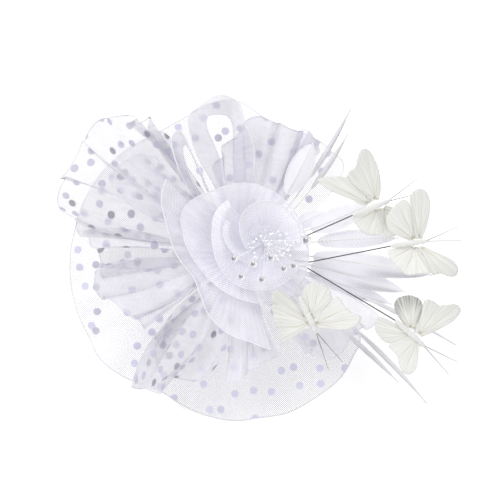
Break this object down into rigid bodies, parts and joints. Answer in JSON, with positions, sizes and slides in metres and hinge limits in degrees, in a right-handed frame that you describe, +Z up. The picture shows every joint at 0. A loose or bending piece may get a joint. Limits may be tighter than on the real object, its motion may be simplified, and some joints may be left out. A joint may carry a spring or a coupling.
{
  "type": "bridal fascinator headband",
  "caption": "Bridal headband with a round fascinator of dotted net and organza, a stiff braid rose, pearls on wires, feathers and butterflies on wire stems.",
  "frame": {"origin": "bottom centre of the bounding box, on the floor that the part stands on", "axes": "+Z up; +X to the right seen from the face, towards the butterflies; the face looks up and towards -Y, and the headband is behind it, towards +Y"},
  "size_m": [0.3566, 0.225, 0.2208],
  "materials": {
    "satin_band": "white satin over a plastic strip",
    "dotted_net": "fine white net with flocked grey dots",
    "organza": "sheer lilac-white organza",
    "stiff_braid": "shiny woven nylon braid",
    "feather": "white and pale grey feather",
    "wing": "cream feather with tan veins",
    "cotton_body": "white cotton thread wrapped on wire",
    "pearl": "silver-white pearl on clear wire",
    "black_wire": "thin black coated wire"
  },
  "bodies": {
    "root": {"braid_ruffle": "stiff_braid", "butterfly_low_body": "cotton_body", "butterfly_low_fore_wing_left": "wing", "butterfly_low_fore_wing_right": "wing", "butterfly_low_hind_wing_left": "wing", "butterfly_low_hind_wing_right": "wing", "butterfly_low_stem": "black_wire", "butterfly_near_body": "cotton_body", "butterfly_near_fore_wing_left": "wing", "butterfly_near_fore_wing_right": "wing", "butterfly_near_hind_wing_left": "wing", "butterfly_near_hind_wing_right": "wing", "butterfly_near_stem": "black_wire", "butterfly_right_body": "cotton_body", "butterfly_right_fore_wing_left": "wing", "butterfly_right_fore_wing_right": "wing", "butterfly_right_hind_wing_left": "wing", "butterfly_right_hind_wing_right": "wing", "butterfly_right_stem": "black_wire", "butterfly_upper_body": "cotton_body", "butterfly_upper_fore_wing_left": "wing", "butterfly_upper_fore_wing_right": "wing", "butterfly_upper_hind_wing_left": "wing", "butterfly_upper_hind_wing_right": "wing", "butterfly_upper_stem": "black_wire", "feather_barred": "feather", "feather_biot_side": "feather", "feather_biot_top": "feather", "feather_broad": "feather", "feather_grey": "feather", "feather_leaf_side": "feather", "feather_leaf_top": "feather", "feather_low": "feather", "feather_spike_long": "feather", "feather_spike_short": "feather", "feather_tuft": "feather", "feather_wisp": "feather", "headband": "satin_band", "net_fan_left": "dotted_net", "net_fan_lower_left": "dotted_net", "net_fan_upper_left": "dotted_net", "net_saucer": "dotted_net", "organza_fan_bottom": "organza", "organza_fan_corner": "organza", "organza_fan_top": "organza", "organza_leaf_left": "organza", "organza_loop_left": "organza", "organza_loop_top": "organza", "organza_puff_left": "organza", "pearl_1": "pearl", "pearl_2": "pearl", "pearl_3": "pearl", "pearl_4": "pearl", "pearl_5": "pearl", "pearl_6": "pearl", "pearl_7": "pearl", "pearl_8": "pearl", "rose_braid": "stiff_braid", "rose_collar": "stiff_braid", "rose_cup": "stiff_braid"}
  },
  "joints": []
}
